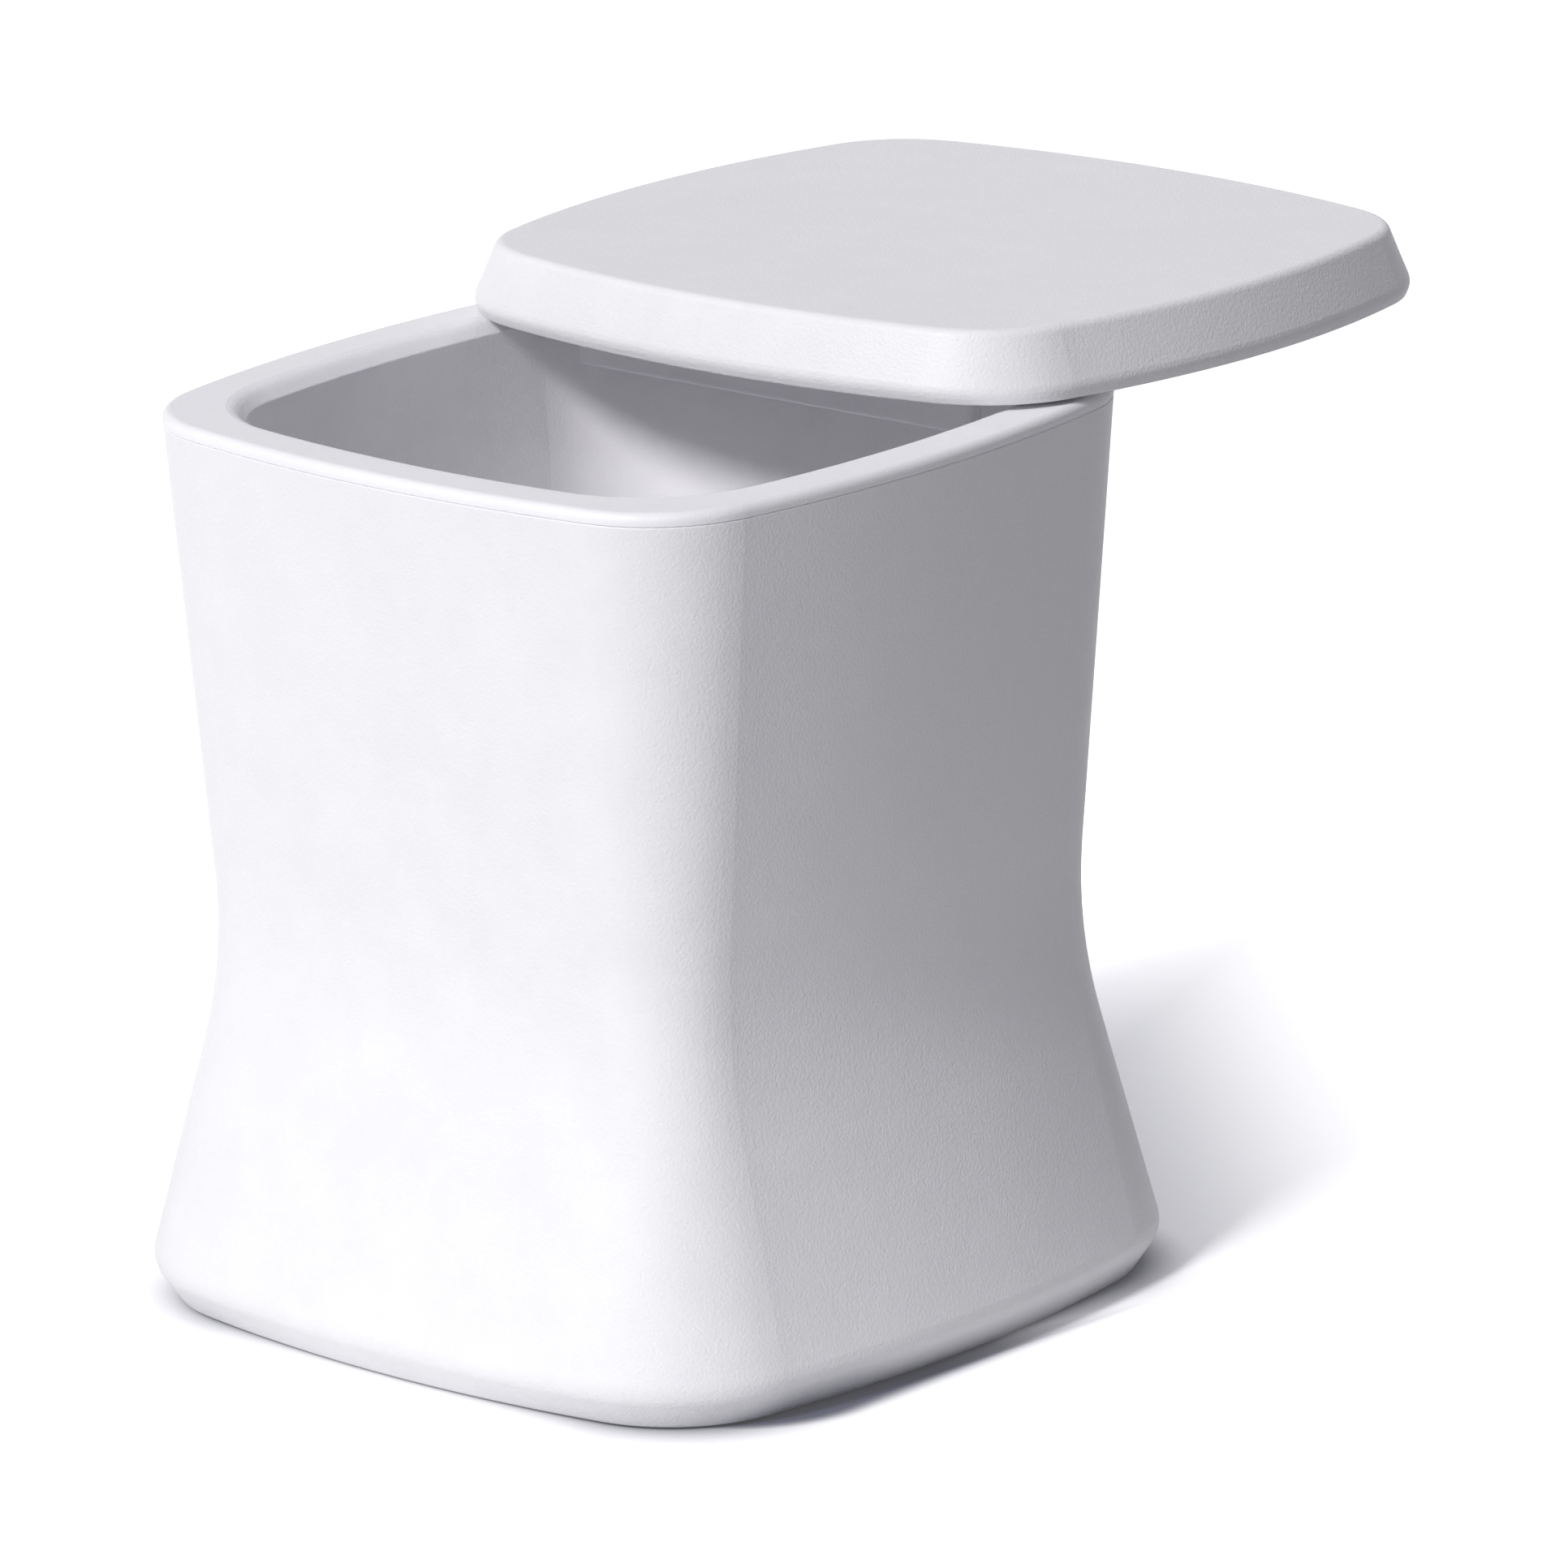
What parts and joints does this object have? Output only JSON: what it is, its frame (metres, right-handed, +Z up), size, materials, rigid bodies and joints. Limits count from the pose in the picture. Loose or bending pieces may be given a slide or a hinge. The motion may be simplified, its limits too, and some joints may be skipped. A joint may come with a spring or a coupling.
{
  "type": "cooler side table",
  "caption": "Hourglass patio side table with an insulated ice tub, a lift-off table top shown drawn back over the rear rim, rubber feet and a screw-out drain plug at the back.",
  "frame": {"origin": "on the floor under the body's axis, in the plane of the feet's undersides", "axes": "+Z up; -Y out of the front face of the body, +Y out of the back with the drain; the lid lies drawn back towards +Y"},
  "size_m": [0.498, 0.7632, 0.5803],
  "materials": {
    "shell_polyethylene": "off-white rotationally moulded polyethylene with a fine orange-peel grain",
    "lid_polyethylene": "off-white moulded polyethylene with a fine orange-peel grain",
    "liner_polyethylene": "off-white moulded polyethylene, slightly smoother than the shell",
    "foam": "rigid closed-cell polyurethane foam",
    "foot_rubber": "matt black rubber",
    "seal_rubber": "black moulded rubber",
    "lid_seal": "pale soft silicone",
    "stopper_polyethylene": "off-white moulded polyethylene",
    "fitting_plastic": "pale grey moulded nylon",
    "plug_plastic": "off-white moulded plastic"
  },
  "bodies": {
    "cooler_body": {"outer_shell": "shell_polyethylene", "inner_liner": "liner_polyethylene", "insulation_core": "foam", "foot_front_left": "foot_rubber", "foot_front_right": "foot_rubber", "foot_rear_left": "foot_rubber", "foot_rear_right": "foot_rubber", "fill_plugs": "stopper_polyethylene", "drain_spout": "fitting_plastic", "drain_inner_gasket": "seal_rubber", "drain_outer_gasket": "seal_rubber", "drain_nut": "fitting_plastic"},
    "lid": {"lid_shell": "lid_polyethylene", "lid_pan": "liner_polyethylene", "lid_insulation": "foam", "lid_gasket": "lid_seal", "lid_fill_plug": "stopper_polyethylene"},
    "drain_plug_seal": {"drain_plug_seal": "seal_rubber"},
    "drain_plug": {"drain_plug": "plug_plastic"}
  },
  "joints": [
    {"name": "lid_lift", "type": "slide", "parent": "cooler_body", "child": "lid", "axis": [0, 0, 1], "range_m": [0, 0.25]},
    {"name": "drain_plug_travel", "type": "slide", "parent": "cooler_body", "child": "drain_plug_seal", "axis": [0, 1, 0], "range_m": [0, 0.012]},
    {"name": "drain_plug_turn", "type": "hinge", "parent": "drain_plug_seal", "child": "drain_plug", "pos_m": [0, 0.2268, 0.21], "axis": [0, 1, 0], "range_deg": [0, 1440]}
  ],
  "couplings": [
    {"joint": "drain_plug_travel", "follows": "drain_plug_turn", "m_per_rad": 0.00047746}
  ]
}
